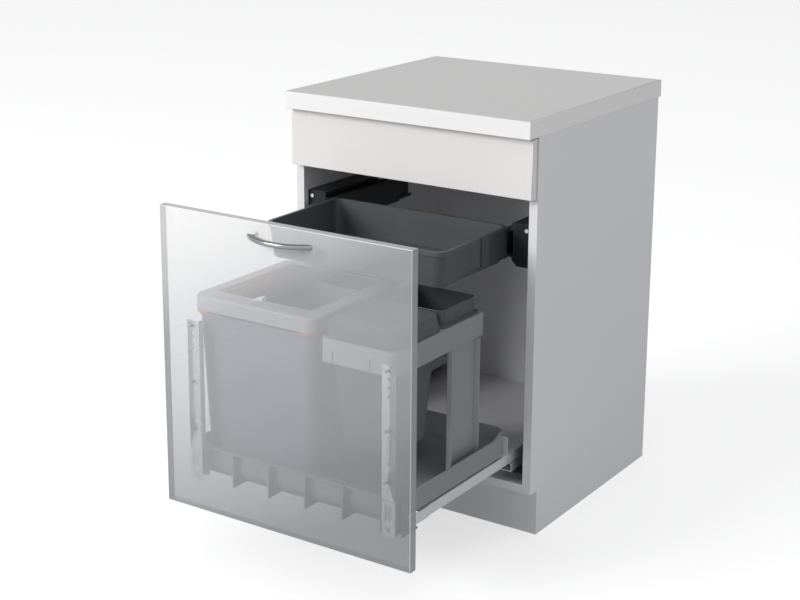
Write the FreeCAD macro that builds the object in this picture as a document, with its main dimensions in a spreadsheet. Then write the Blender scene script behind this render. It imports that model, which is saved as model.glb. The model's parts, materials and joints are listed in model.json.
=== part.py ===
import FreeCAD, Part
import math
import os

import Sketcher
from FreeCAD import Vector

# A 60 cm kitchen base unit with a pull-out waste system, shown drawn out.
# Frame: X to the right, Y to the back (the carcass back plane is y = 0, the front faces -Y),
# Z up from the floor. Every moving piece is built where it stands with the unit open.

os.makedirs("parts", exist_ok=True)
doc = FreeCAD.newDocument("pull_out_waste_cabinet")

# Driving sizes, in millimetres.
SIZES = {
    # Carcass
    "unit_width": 600,
    "unit_height": 900,
    "carcass_depth": 550,
    "plinth_height": 100,
    "side_thick": 19,
    "base_thick": 19,
    "rail_thick": 19,
    "rail_width": 100,
    "back_thick": 8,
    "rebate_width": 9,
    "rebate_gap": 0.5,
    "plinth_thick": 16,
    "toe_recess": 46,
    "worktop_thick": 38,
    "worktop_overhang": 38,
    "worktop_rear": 12,
    "worktop_round": 2,
    # Fronts
    "front_thick": 19,
    "front_reveal": 3,
    "front_gap": 2,
    "front_foot": 8,
    "front_round": 1.5,
    "blank_height": 123,
    "angle_thick": 2,
    "angle_leg": 40,
    "angle_drop": 40,
    # Travels, from closed to the open place shown
    "pull_travel": 430,
    "tray_travel": 245,
    # Bow handle
    "handle_width": 156,
    "handle_depth": 30,
    "handle_inner_width": 122,
    "handle_inner_depth": 21,
    "handle_band": 9,
    "handle_round": 3,
    "handle_drop": 30,
    "handle_holes": 138,
    "handle_grip_depth": 4.5,
    # Fasteners
    "screw_radius": 2,
    "screw_head": 4.2,
    "screw_head_thick": 2.2,
    "screw_slack": 0.3,
    "screw_bite": 10,
    "pilot_depth": 12,
    "cam_radius": 5,
    "cam_shank": 2.5,
    # Perforated strips and their adjusters
    "strip_inset": 23,
    "strip_width": 30,
    "strip_thick": 1.5,
    "strip_leg": 13,
    "strip_length": 268,
    "strip_gap": 1.5,
    "strip_hole": 2.6,
    "hole_pitch": 17,
    "hole_first": 10,
    "hole_middle": 128,
    "hole_low": 195,
    "window_width": 16,
    "window_height": 34,
    "window_rise": 28,
    "cam_rise": 14,
    "adjuster_foot": 160,
    "adjuster_thick": 1.5,
    "adjuster_width": 26,
    "adjuster_open": 4,
    "tongue_reach": 58,
    # Base frame
    "runner_room": 23,
    "frame_back_set": 14,
    "apron_set": 15,
    "frame_length": 375,
    "frame_over_runner": 5,
    "frame_wall": 4,
    "frame_skin": 3,
    "frame_height": 43,
    "frame_front_drop": 7,
    "frame_round": 28,
    "frame_rear_rise": 10,
    "frame_rear_length": 50,
    "apron_foot": 157,
    "apron_curve": 38,
    "rib_thick": 3,
    "rib_pitch": 90,
    "rib_inset": 50,
    "rib_count": 5,
    # Runners
    "runner_length": 450,
    "middle_length": 300,
    "middle_set": 140,
    "drawer_length": 450,
    "rail_nose": 40,
    "rail_nose_lap": 30,
    "rail_nose_thick": 2,
    "hook_width": 18,
    "hook_height": 42,
    "hook_thick": 1.5,
    "ridge_width": 9,
    "runner_width": 39,
    "runner_foot": 142,
    "runner_height": 48,
    "channel_height": 22,
    "channel_lip": 8,
    "channel_thick": 1.5,
    "slide_gap": 0.35,
    "runner_start": 6,
    "ledge_thick": 2,
    "ledge_height": 70,
    "ledge_screw_set": 37,
    "ledge_screw_pitch": 192,
    "ledge_screw_drop": 18,
    # Large bin, its clamp ring and bag frame
    "bin_side_gap": 6,
    "bin_holder_gap": 20,
    "bin_set": 20,
    "bin_length": 312,
    "bin_inset": 3,
    "bin_taper": 9,
    "bin_front_taper": 12,
    "bin_wall": 2.5,
    "bin_round": 22,
    "bin_lip": 4,
    "clamp_inset": 6,
    "clamp_thick": 3,
    "bag_frame_height": 31,
    "bag_frame_foot": 5,
    "bag_frame_wall": 3,
    "bag_frame_round": 5,
    "opening_left": 30,
    "opening_right": 36,
    "opening_front": 45,
    "opening_back": 18,
    "opening_round": 8,
    "tray_over_bins": 40,
    "comb_drop": 23,
    "comb_start": 8,
    "comb_teeth": 12,
    "comb_pitch": 18,
    "slot_width": 6,
    "slot_height": 9,
    "clip_front": 36,
    "clip_side": 30,
    "latch_width": 22,
    "latch_offset": 11,
    "latch_height": 9,
    # Holder, small bin and box
    "holder_side_gap": 18,
    "holder_width": 174,
    "holder_under_rim": 30,
    "holder_height": 48,
    "holder_wall": 3,
    "holder_flange": 8,
    "holder_round": 22,
    "holder_bar": 8,
    "holder_notch": 9,
    "slit_left": 26,
    "slit_right": 112,
    "slit_width": 2.5,
    "slit_height": 25,
    "boss_width": 18,
    "box_length": 145,
    "small_bin_lift": 105,
    "small_taper": 14,
    "rim_thick": 3,
    "rim_lap": 4,
    "seat_gap": 3,
    "lid_skin": 3,
    "lid_wall": 32,
    "lid_inset": 5,
    "lid_dome": 6,
    "lid_slope": 22,
    "grip_width": 112,
    "grip_depth": 50,
    "grip_inner": 24,
    "grip_sink": 5,
    "lug_width": 12,
    "lug_height": 9,
    "box_hang": 43,
    "box_rise": 34,
    "leg_width": 105,
    "leg_set": 25,
    "leg_lap": 30,
    "leg_toe": 18,
    "leg_flange": 12,
    "leg_thick": 2.4,
    # Utensil tray
    "tray_side_room": 64,
    "tray_closed_set": 22,
    "tray_length": 258,
    "tray_under_blank": 74,
    "tray_height": 74,
    "tray_rim": 10,
    "tray_rim_lap": 3,
    "tray_taper": 6,
    "tray_wall": 3,
    "tray_round": 20,
    "slide_height": 60,
    "slide_stack": 22,
    "slide_channel": 9,
    "slide_lip": 7,
    "slide_thick": 1.2,
    "slide_inner": 272,
    "slide_inner_set": 144,
    "slide_middle": 150,
    "slide_middle_set": 356,
    "slide_outer": 335,
    "slide_nose": 88,
    "slide_nose_lap": 20,
    "slide_nose_step": 2,
    "slide_nose_slope": 17,
    "cheek_slope": 70,
    "housing_set": 15,
    "housing_length": 205,
    "housing_rise": 13,
    "housing_height": 90,
    "housing_lap": 5,
    "housing_slack": 1,
    "housing_chamfer": 12,
}

sheet = doc.addObject("Spreadsheet::Sheet", "Sizes")
for row, (alias, value) in enumerate(SIZES.items(), start=1):
    sheet.set("A%d" % row, alias)
    sheet.set("B%d" % row, str(value))
    sheet.setAlias("B%d" % row, alias)
doc.recompute()


class Size:
    """A length: its value now, and the formula that ties it to the sheet."""

    def __init__(self, value, formula):
        self.value = float(value)
        self.formula = formula

    def __add__(self, other):
        other = size(other)
        return Size(self.value + other.value, "(%s + %s)" % (self.formula, other.formula))

    def __sub__(self, other):
        other = size(other)
        return Size(self.value - other.value, "(%s - %s)" % (self.formula, other.formula))

    def __mul__(self, other):
        other = size(other)
        return Size(self.value * other.value, "(%s * %s)" % (self.formula, other.formula))

    def __truediv__(self, other):
        other = size(other)
        return Size(self.value / other.value, "(%s / %s)" % (self.formula, other.formula))

    def __neg__(self):
        return Size(-self.value, "(0 - %s)" % self.formula)

    def __radd__(self, other):
        return size(other) + self

    def __rsub__(self, other):
        return size(other) - self

    def __rmul__(self, other):
        return size(other) * self


def size(thing):
    """A plain number as a Size."""
    if isinstance(thing, Size):
        return thing
    return Size(thing, "(%.6g)" % thing)


class Names:
    """The sheet's sizes by name."""


d = Names()
for alias, value in SIZES.items():
    setattr(d, alias, Size(value, "Sizes." + alias))


# ---------------------------------------------------------------- modelling helpers

def origin_of(body, role):
    """A plane or axis of the body's own origin."""
    return next(item for item in body.Origin.OriginFeatures if item.Role == role)


def new_body(name):
    body = doc.addObject("PartDesign::Body", name)
    body.Label = name
    return body


def new_sketch(body, plane, offset=0):
    """A sketch on one of the body's planes, moved along the plane's normal."""
    sketch = body.newObject("Sketcher::SketchObject", body.Name + "_sketch")
    sketch.AttachmentSupport = (origin_of(body, plane), [""])
    sketch.MapMode = "FlatFace"
    sketch.setExpression("AttachmentOffset.Base.z", size(offset).formula)
    return sketch


def tie(sketch, kind, geometry, point, target):
    """Fixes one coordinate of a point to a formula."""
    target = size(target)
    index = sketch.addConstraint(Sketcher.Constraint(kind, -1, 1, geometry, point, target.value))
    sketch.setExpression("Constraints[%d]" % index, target.formula)


def tie_radius(sketch, geometry, radius):
    radius = size(radius)
    index = sketch.addConstraint(Sketcher.Constraint("Radius", geometry, radius.value))
    sketch.setExpression("Constraints[%d]" % index, radius.formula)


def arc_centre(start, end, radius, turn):
    """Centre of an arc from start to end; turn is 1 anticlockwise and -1 clockwise."""
    chord = end - start
    middle = (start + end) * 0.5
    height = math.sqrt(max(radius * radius - chord.Length ** 2 / 4, 0))
    normal = Vector(-chord.y, chord.x, 0).normalize()
    return middle + normal * (height * turn)


def outline(sketch, corners, arcs=None):
    """A closed outline through tied corners. arcs gives (radius, turn) after a corner."""
    arcs = arcs or {}
    count = len(corners)
    first = sketch.GeometryCount
    points = [Vector(size(across).value, size(up).value, 0) for across, up in corners]
    ends = []
    for i in range(count):
        start, end = points[i], points[(i + 1) % count]
        if i not in arcs:
            sketch.addGeometry(Part.LineSegment(start, end), False)
            ends.append((1, 2))
            continue
        radius, turn = size(arcs[i][0]).value, arcs[i][1]
        centre = arc_centre(start, end, radius, turn)
        low, high = (start, end) if turn > 0 else (end, start)
        low_angle = math.atan2(low.y - centre.y, low.x - centre.x)
        high_angle = math.atan2(high.y - centre.y, high.x - centre.x)
        if high_angle < low_angle:
            high_angle += 2 * math.pi
        circle = Part.Circle(centre, Vector(0, 0, 1), radius)
        sketch.addGeometry(Part.ArcOfCircle(circle, low_angle, high_angle), False)
        ends.append((1, 2) if turn > 0 else (2, 1))
    joins = []
    for i in range(count):
        after = (i + 1) % count
        joins.append(Sketcher.Constraint("Coincident", first + i, ends[i][1], first + after, ends[after][0]))
    sketch.addConstraint(joins)
    for i, (across, up) in enumerate(corners):
        tie(sketch, "DistanceX", first + i, ends[i][0], across)
        tie(sketch, "DistanceY", first + i, ends[i][0], up)
    for i, (radius, turn) in arcs.items():
        tie_radius(sketch, first + i, radius)


def rectangle(sketch, x, y):
    outline(sketch, [(x[0], y[0]), (x[1], y[0]), (x[1], y[1]), (x[0], y[1])])


def rounded_rectangle(sketch, x, y, radii):
    """radii run from the low-x, low-y corner anticlockwise, or are one Size for all four."""
    if isinstance(radii, Size):
        radii = [radii] * 4
    x0, x1 = size(x[0]), size(x[1])
    y0, y1 = size(y[0]), size(y[1])
    a, b, c, e = radii
    corners = [
        (x0 + a, y0), (x1 - b, y0), (x1, y0 + b), (x1, y1 - c),
        (x1 - c, y1), (x0 + e, y1), (x0, y1 - e), (x0, y0 + a),
    ]
    outline(sketch, corners, {1: (b, 1), 3: (c, 1), 5: (e, 1), 7: (a, 1)})


def circles(sketch, centres, radius):
    for across, up in centres:
        centre = Vector(size(across).value, size(up).value, 0)
        index = sketch.addGeometry(Part.Circle(centre, Vector(0, 0, 1), size(radius).value), False)
        tie(sketch, "DistanceX", index, 3, across)
        tie(sketch, "DistanceY", index, 3, up)
        tie_radius(sketch, index, radius)


def pad(body, sketch, length, back=False):
    feature = body.newObject("PartDesign::Pad", body.Name + "_pad")
    feature.Profile = sketch
    feature.setExpression("Length", size(length).formula)
    feature.Reversed = back
    return feature


def pocket(body, sketch, depth, forward=False):
    """Cuts against the sketch plane's normal, or along it when forward is set."""
    feature = body.newObject("PartDesign::Pocket", body.Name + "_pocket")
    feature.Profile = sketch
    feature.setExpression("Length", size(depth).formula)
    feature.Reversed = forward
    return feature


def loft(body, low, high, cut=False):
    kind = "PartDesign::SubtractiveLoft" if cut else "PartDesign::AdditiveLoft"
    feature = body.newObject(kind, body.Name + "_loft")
    feature.Profile = low
    feature.Sections = [high]
    feature.Ruled = True
    return feature


def fillet(body, base, radius, chosen):
    """Rounds the edges of the base feature that the chosen test accepts."""
    doc.recompute()
    names = ["Edge%d" % (i + 1) for i, edge in enumerate(base.Shape.Edges) if chosen(edge)]
    feature = body.newObject("PartDesign::Fillet", body.Name + "_fillet")
    feature.Base = (base, names)
    feature.setExpression("Radius", size(radius).formula)
    return feature


def pattern(body, feature, axis, spacing, count):
    copies = body.newObject("PartDesign::LinearPattern", body.Name + "_pattern")
    copies.Originals = [feature]
    copies.Direction = (origin_of(body, axis), [""])
    copies.setExpression("Length", (size(spacing) * (size(count) - 1)).formula)
    copies.setExpression("Occurrences", size(count).formula)
    body.Tip = copies
    return copies


def at_level(edge, level, slack=0.01):
    """True where the whole edge lies at one height."""
    box = edge.BoundBox
    return abs(box.ZMin - size(level).value) < slack and abs(box.ZMax - size(level).value) < slack


def block(name, x, y, z):
    """A plain board between two formulas along each axis."""
    board = doc.addObject("Part::Box", name)
    board.Label = name
    for axis, edge, (low, high) in zip("xyz", ("Length", "Width", "Height"), (x, y, z)):
        board.setExpression("Placement.Base." + axis, size(low).formula)
        board.setExpression(edge, (size(high) - low).formula)
    return board


SCREW_TURNS = {
    "x": FreeCAD.Rotation(Vector(0, 1, 0), 90),
    "-x": FreeCAD.Rotation(Vector(0, 1, 0), -90),
    "-y": FreeCAD.Rotation(Vector(1, 0, 0), 90),
    "y": FreeCAD.Rotation(Vector(1, 0, 0), -90),
}


SCREW_SIDES = 12


def screw(name, place, points_to, length, radius=None, head=None, head_thick=None):
    """A pan head screw with few faces. place is the seat under its head, points_to its shank's way."""
    radius = radius or d.screw_radius
    head = head or d.screw_head
    head_thick = head_thick or d.screw_head_thick
    cap = doc.addObject("Part::Prism", name + "_head")
    shank = doc.addObject("Part::Prism", name + "_shank")
    for piece, girth, height in ((cap, head, size(head_thick)), (shank, radius, size(length) + head_thick)):
        piece.Polygon = SCREW_SIDES
        piece.setExpression("Circumradius", size(girth).formula)
        piece.setExpression("Height", height.formula)
    whole = doc.addObject("Part::Fuse", name)
    whole.Base = cap
    whole.Tool = shank
    sign = -1 if points_to.startswith("-") else 1
    start = [size(value) for value in place]
    axis = "xyz".index(points_to[-1])
    start[axis] = start[axis] - size(head_thick) * sign
    for piece in (cap, shank):
        piece.Placement = FreeCAD.Placement(Vector(), SCREW_TURNS[points_to])
        for letter, value in zip("xyz", start):
            piece.setExpression("Placement.Base." + letter, value.formula)
    return whole


def group(name, members):
    """Like fasteners kept together as separate solids."""
    bundle = doc.addObject("Part::Compound", name)
    bundle.Label = name
    bundle.Links = members
    return bundle


NODES = []


def keep(piece):
    NODES.append(piece)
    return piece


def side_name(side):
    return "left" if side < 0 else "right"


def across(side, near, far):
    """An x span given on the right side, turned to the asked side, low end first."""
    return (side * near, side * far) if side > 0 else (side * far, side * near)


# ---------------------------------------------------------------- shared places

half = d.unit_width / 2
inner = half - d.side_thick
carcass_top = d.unit_height - d.worktop_thick
carcass_front = -d.carcass_depth
closed_face = carcass_front - d.front_gap
open_face = closed_face - d.pull_travel
front_low = d.plinth_height + d.front_foot
blank_high = carcass_top - d.front_reveal
blank_low = blank_high - d.blank_height
front_high = blank_low - d.front_reveal
front_half = half - d.front_reveal
handle_level = front_high - d.handle_drop

runner_top = d.runner_foot + d.runner_height
frame_half = inner - d.runner_room
frame_floor = runner_top + d.frame_over_runner
rib_front = open_face + d.frame_back_set
apron_face = rib_front + d.apron_set
frame_back = apron_face + d.frame_length
frame_top = frame_floor + d.frame_height
lip_top = frame_top - d.frame_front_drop
floor_top = frame_floor + d.frame_skin
apron_back = apron_face + d.apron_curve

runner_closed = apron_back + d.pull_travel + d.runner_start
runner_far = frame_half
runner_near = runner_far - d.runner_width

strip_centre = frame_half - d.strip_inset
strip_near = strip_centre - d.strip_width / 2
strip_far = strip_centre + d.strip_width / 2
strip_back = open_face + d.strip_thick
strip_foot = lip_top + d.strip_gap
strip_top = strip_foot + d.strip_length
cam_level = d.adjuster_foot + d.cam_rise

tray_half = inner - d.tray_side_room
tray_front = carcass_front + d.tray_closed_set - d.tray_travel
tray_back = tray_front + d.tray_length
tray_top = blank_low - d.tray_under_blank
tray_foot = tray_top - d.tray_height
slide_low = tray_top - d.slide_height
slide_far = tray_half + d.slide_stack
housing_front = carcass_front + d.housing_set
housing_back = housing_front + d.housing_length
housing_top = tray_top + d.housing_rise
housing_foot = housing_top - d.housing_height
housing_near = slide_far - d.housing_lap

holder_right = frame_half - d.holder_side_gap
holder_left = holder_right - d.holder_width
bin_left = d.bin_side_gap - frame_half
bin_right = holder_left - d.bin_holder_gap
bin_front = open_face + d.bin_set
bin_back = bin_front + d.bin_length
bag_frame_top = tray_foot - d.tray_over_bins
bag_frame_low = bag_frame_top - d.bag_frame_height
bin_top = bag_frame_low - d.bag_frame_foot
clamp_top = bag_frame_top - d.bag_frame_wall

holder_front = bin_front - 1
holder_top = bag_frame_top - d.holder_under_rim
holder_foot = holder_top - d.holder_height
holder_back = bin_back + 2
box_opening_front = holder_back - d.holder_flange - d.box_length + d.holder_bar
bar_front = box_opening_front - d.holder_bar


# ---------------------------------------------------------------- carcass

def make_worktop():
    body = new_body("worktop")
    sketch = new_sketch(body, "XY_Plane", carcass_top)
    rectangle(sketch, (-half, half), (carcass_front - d.worktop_overhang, d.worktop_rear))
    slab = pad(body, sketch, d.worktop_thick)
    fillet(body, slab, d.worktop_round, lambda edge: at_level(edge, d.unit_height))
    return keep(body)


def strip_hole_levels():
    """Heights of the holes in a perforated strip, from the top down, in three groups."""
    groups = ((d.hole_first, 4), (d.hole_middle, 2), (d.hole_low, 4))
    return [strip_top - first - d.hole_pitch * i for first, count in groups for i in range(count)]


def ledge_screw_places():
    """Lengthwise places of the screws in a runner's wall angle."""
    first = carcass_front + d.front_gap + d.ledge_screw_set
    return [first, first + d.ledge_screw_pitch, first + d.ledge_screw_pitch * 2]


ledge_screw_level = d.runner_foot + d.ledge_height - d.ledge_screw_drop


def make_side_panel(side):
    """A side board with its toe notch, back rebate and the runner's pilot holes."""
    body = new_body("side_panel_" + side_name(side))
    sketch = new_sketch(body, "YZ_Plane", inner if side > 0 else -half)
    toe = carcass_front + d.toe_recess
    outline(sketch, [
        (toe, 0), (0, 0), (0, carcass_top), (carcass_front, carcass_top),
        (carcass_front, d.plinth_height), (toe, d.plinth_height),
    ])
    pad(body, sketch, d.side_thick)
    rebate = new_sketch(body, "XY_Plane", carcass_top)
    rectangle(rebate, across(side, inner - 1, inner + d.rebate_width), (-d.back_thick, 1))
    pocket(body, rebate, carcass_top - d.plinth_height)
    holes = new_sketch(body, "YZ_Plane", side * inner)
    circles(holes, [(y, ledge_screw_level) for y in ledge_screw_places()], d.screw_radius + d.screw_slack)
    pocket(body, holes, d.pilot_depth, forward=side > 0)
    return keep(body)


def make_boards():
    toe = carcass_front + d.toe_recess
    rail_low = carcass_top - d.rail_thick
    keep(block("bottom_panel", (-inner, inner), (carcass_front, -d.back_thick),
               (d.plinth_height, d.plinth_height + d.base_thick)))
    back_half = inner + d.rebate_width - d.rebate_gap
    keep(block("back_panel", (-back_half, back_half), (-d.back_thick, 0), (d.plinth_height, carcass_top)))
    keep(block("top_rail_front", (-inner, inner), (carcass_front, carcass_front + d.rail_width),
               (rail_low, carcass_top)))
    keep(block("top_rail_rear", (-inner, inner), (-d.back_thick - d.rail_width, -d.back_thick),
               (rail_low, carcass_top)))
    keep(block("rear_base_rail", (-inner, inner), (-d.rail_thick, 0), (0, d.plinth_height)))
    keep(block("plinth_board", (-half, half), (toe - d.plinth_thick, toe), (0, d.plinth_height)))


def make_front(name, face, low, high):
    """A front board whose back stands at face, with softly rounded outer edges."""
    body = new_body(name)
    sketch = new_sketch(body, "XZ_Plane", -face)
    rectangle(sketch, (-front_half, front_half), (low, high))
    board = pad(body, sketch, d.front_thick)
    outer = size(face).value - d.front_thick.value
    fillet(body, board, d.front_round,
           lambda edge: abs(edge.BoundBox.YMin - outer) < 0.01 and edge.BoundBox.YLength < 0.01)
    return body


def make_blank_front():
    """The fixed front under the worktop, on two angles inside the carcass."""
    body = make_front("blank_front", closed_face, blank_low, blank_high)
    angle_low = (blank_low + blank_high) / 2 - d.angle_drop / 2
    level = (blank_low + blank_high) / 2
    reach = inner - d.angle_leg * 0.65
    holes = new_sketch(body, "XZ_Plane", -closed_face)
    circles(holes, [(-reach, level), (reach, level)], d.screw_radius + d.screw_slack)
    pocket(body, holes, d.pilot_depth, forward=True)
    keep(body)
    screws = []
    for side in (-1, 1):
        angle = new_body("blank_angle_" + side_name(side))
        sketch = new_sketch(angle, "XY_Plane", angle_low)
        wall, web = side * inner, side * (inner - d.angle_thick)
        tip = side * (inner - d.angle_leg)
        inside = closed_face + d.angle_thick
        outline(sketch, [(wall, closed_face), (wall, closed_face + d.angle_leg),
                         (web, closed_face + d.angle_leg), (web, inside), (tip, inside), (tip, closed_face)])
        pad(angle, sketch, d.angle_drop)
        bore = new_sketch(angle, "XZ_Plane", -closed_face)
        circles(bore, [(side * reach, level)], d.screw_radius + d.screw_slack)
        pocket(angle, bore, d.angle_thick)
        keep(angle)
        seat = (side * reach, inside, level)
        screws.append(screw("blank_screw_" + side_name(side), seat, "-y", d.angle_thick + d.screw_bite))
    keep(group("blank_screws", screws))


# ---------------------------------------------------------------- front of the pull-out

def strip_screw_spots():
    """The screws in both strips: one in each group of holes."""
    return [(side * strip_centre, level) for side in (-1, 1) for level in strip_hole_levels()[::4]]


def make_front_panel():
    body = make_front("front_panel", open_face, front_low, front_high)
    spots = new_sketch(body, "XZ_Plane", -open_face)
    circles(spots, strip_screw_spots(), d.screw_radius + d.screw_slack)
    pocket(body, spots, d.pilot_depth, forward=True)
    bores = new_sketch(body, "XZ_Plane", -open_face)
    reach = d.handle_holes / 2
    circles(bores, [(-reach, handle_level), (reach, handle_level)], d.screw_radius + d.screw_slack)
    pocket(body, bores, d.front_thick + 1, forward=True)
    return keep(body)


def bow_radius(width, depth):
    """Radius of an arc as wide and as deep as a bow."""
    return (width * width / 4 + depth * depth) / (2 * depth)


def make_handle():
    """A crescent bow whose two feet stand on the front."""
    body = new_body("handle")
    face = open_face - d.front_thick
    sketch = new_sketch(body, "XY_Plane", handle_level - d.handle_band / 2)
    wide, narrow = d.handle_width / 2, d.handle_inner_width / 2
    outline(sketch, [(-wide, face), (wide, face), (narrow, face), (-narrow, face)],
            {0: (bow_radius(d.handle_width, d.handle_depth), 1),
             2: (bow_radius(d.handle_inner_width, d.handle_inner_depth), -1)})
    bow = pad(body, sketch, d.handle_band)
    inside = (face - d.handle_inner_depth).value - 1
    fillet(body, bow, d.handle_round,
           lambda edge: edge.BoundBox.ZLength < 0.01 and edge.BoundBox.YMin < inside)
    holes = new_sketch(body, "XZ_Plane", -face)
    reach = d.handle_holes / 2
    circles(holes, [(-reach, handle_level), (reach, handle_level)], d.screw_radius)
    pocket(body, holes, d.handle_grip_depth, forward=True)
    keep(body)
    screws = [screw("handle_screw_" + side_name(side), (side * reach, open_face, handle_level), "-y",
                    d.front_thick + d.handle_grip_depth - 0.5, radius=d.screw_radius - 0.05)
              for side in (-1, 1)]
    keep(group("handle_screws", screws))


def make_strip(side):
    """A perforated steel angle on the back of the front."""
    body = new_body("front_strip_" + side_name(side))
    sketch = new_sketch(body, "XY_Plane", strip_foot)
    near, far = side * strip_near, side * strip_far
    leg_in = side * (strip_near + d.strip_thick)
    leg_end = open_face + d.strip_leg
    outline(sketch, [(near, open_face), (far, open_face), (far, strip_back), (leg_in, strip_back),
                     (leg_in, leg_end), (near, leg_end)])
    pad(body, sketch, d.strip_length)
    holes = new_sketch(body, "XZ_Plane", -open_face)
    circles(holes, [(side * strip_centre, level) for level in strip_hole_levels()], d.strip_hole)
    pocket(body, holes, d.strip_thick)
    return keep(body)


def make_adjuster(side):
    """A folded steel bracket between the strip and the apron, with a window and a cam in its face."""
    body = new_body("front_adjuster_" + side_name(side))
    thick = d.adjuster_thick
    outer = strip_centre + d.adjuster_width / 2
    tip = strip_centre - d.adjuster_width / 2 + d.adjuster_open
    fold_top = lip_top - d.frame_skin - 2
    fold = new_sketch(body, "XY_Plane", d.adjuster_foot)
    outline(fold, [
        (side * tip, strip_back), (side * outer, strip_back), (side * outer, apron_face),
        (side * tip, apron_face), (side * tip, apron_face - thick),
        (side * (outer - thick), apron_face - thick),
        (side * (outer - thick), strip_back + thick), (side * tip, strip_back + thick),
    ])
    pad(body, fold, fold_top - d.adjuster_foot)
    tongue = new_sketch(body, "XZ_Plane", -(strip_back + thick))
    rectangle(tongue, across(side, tip, outer), (fold_top - thick, strip_foot + d.tongue_reach))
    pad(body, tongue, thick)
    face = new_sketch(body, "XZ_Plane", -strip_back)
    rectangle(face, across(side, strip_near, strip_far), (d.adjuster_foot, strip_foot - d.strip_gap))
    pad(body, face, d.strip_thick)
    holes = new_sketch(body, "XZ_Plane", -open_face)
    circles(holes, [(side * strip_centre, cam_level)], d.cam_radius + d.screw_slack)
    low = d.adjuster_foot + d.window_rise
    window = d.window_width / 2
    rectangle(holes, (side * strip_centre - window, side * strip_centre + window),
              (low, low + d.window_height))
    pocket(body, holes, d.strip_thick)
    bores = new_sketch(body, "XZ_Plane", -strip_back)
    circles(bores, [(side * strip_centre, cam_level)], d.cam_shank + d.screw_slack)
    circles(bores, [(side * strip_centre, strip_hole_levels()[-2])], d.screw_radius + d.screw_slack)
    pocket(body, bores, thick)
    return keep(body)


def make_front_fasteners():
    """The screws that hold the strips, the lowest through the adjuster's tongue, and the cams."""
    screws = []
    lowest = strip_hole_levels()[-2]
    for i, (x, z) in enumerate(strip_screw_spots()):
        under = d.adjuster_thick if z.value == lowest.value else size(0)
        seat = (x, strip_back + under, z)
        screws.append(screw("strip_screw_%d" % i, seat, "-y", d.strip_thick + under + d.screw_bite))
    keep(group("strip_screws", screws))
    cams = [screw("cam_screw_" + side_name(side), (side * strip_centre, strip_back, cam_level), "y",
                  d.adjuster_thick + 6, radius=d.cam_shank, head=d.cam_radius, head_thick=d.strip_thick - 0.2)
            for side in (-1, 1)]
    keep(group("cam_screws", cams))


# ---------------------------------------------------------------- base frame

def apron_outline(front, front_top):
    """The space of a rib: straight in front and below, the apron's curve behind."""
    return [(front, front_top), (front, d.apron_foot), (apron_back, d.apron_foot),
            (apron_face, d.apron_foot + d.apron_curve), (apron_face, front_top)]


def make_base_frame():
    """The moulded base: a tray on the runners with a curved, ribbed apron in front."""
    body = new_body("base_frame")
    wall, skin = d.frame_wall, d.frame_skin
    rim = frame_top + d.frame_rear_rise
    outer = new_sketch(body, "XY_Plane", frame_floor)
    corner = d.frame_wall
    rounded_rectangle(outer, (-frame_half, frame_half), (apron_face, frame_back),
                      [corner, corner, d.frame_round, d.frame_round])
    pad(body, outer, rim - frame_floor)
    hollow = new_sketch(body, "XY_Plane", rim)
    small = corner / 2
    inside = d.frame_round - wall
    rounded_rectangle(hollow, (-frame_half + wall, frame_half - wall),
                      (apron_face + skin, frame_back - wall), [small, small, inside, inside])
    pocket(body, hollow, rim - floor_top)

    crest = new_sketch(body, "YZ_Plane", -frame_half - 1)
    rise = frame_back - d.frame_rear_length
    outline(crest, [(apron_face - 1, rim + 1), (apron_face - 1, lip_top), (apron_face + skin, lip_top),
                    (apron_face + skin + corner, frame_top), (rise, frame_top),
                    (rise + d.frame_rear_length / 2, rim), (rise + d.frame_rear_length / 2, rim + 1)])
    pocket(body, crest, frame_half * 2 + 2, forward=True)

    apron = new_sketch(body, "YZ_Plane", -frame_half)
    knee = d.apron_foot + d.apron_curve
    join = frame_floor + skin / 2
    outline(apron, [(apron_face, join), (apron_face, knee), (apron_back, d.apron_foot),
                    (apron_back, d.apron_foot + skin), (apron_face + skin, knee), (apron_face + skin, join)],
            {1: (d.apron_curve, 1), 3: (d.apron_curve - skin, -1)})
    pad(body, apron, frame_half * 2)

    lip = new_sketch(body, "YZ_Plane", -frame_half)
    rectangle(lip, (rib_front, apron_face + 1), (lip_top - skin, lip_top))
    pad(body, lip, frame_half * 2)

    ridges = new_sketch(body, "XY_Plane", runner_top)
    for side in (-1, 1):
        rectangle(ridges, across(side, runner_near + 5, runner_near + 5 + d.ridge_width),
                  (apron_back + d.runner_start, frame_back - d.frame_round))
    pad(body, ridges, d.frame_over_runner)

    for place in (-frame_half, frame_half - d.rib_thick):
        end = new_sketch(body, "YZ_Plane", place)
        outline(end, apron_outline(rib_front, lip_top), {2: (d.apron_curve, -1)})
        pad(body, end, d.rib_thick)
    last_rib = frame_half - d.rib_inset
    rib = new_sketch(body, "YZ_Plane", last_rib - d.rib_pitch * (d.rib_count - 1) - d.rib_thick / 2)
    outline(rib, apron_outline(rib_front, lip_top), {2: (d.apron_curve, -1)})
    first = pad(body, rib, d.rib_thick)
    pattern(body, first, "X_Axis", d.rib_pitch, d.rib_count)
    return keep(body)


# ---------------------------------------------------------------- runners and slides

def channel_outline(width, height, lip, thick):
    """A channel with turned-in lips; its back lies at zero, its mouth at height."""
    return [(0, 0), (width, 0), (width, height), (width - lip, height), (width - lip, height - thick),
            (width - thick, height - thick), (width - thick, thick), (thick, thick),
            (thick, height - thick), (lip, height - thick), (lip, height), (0, height)]


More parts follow.
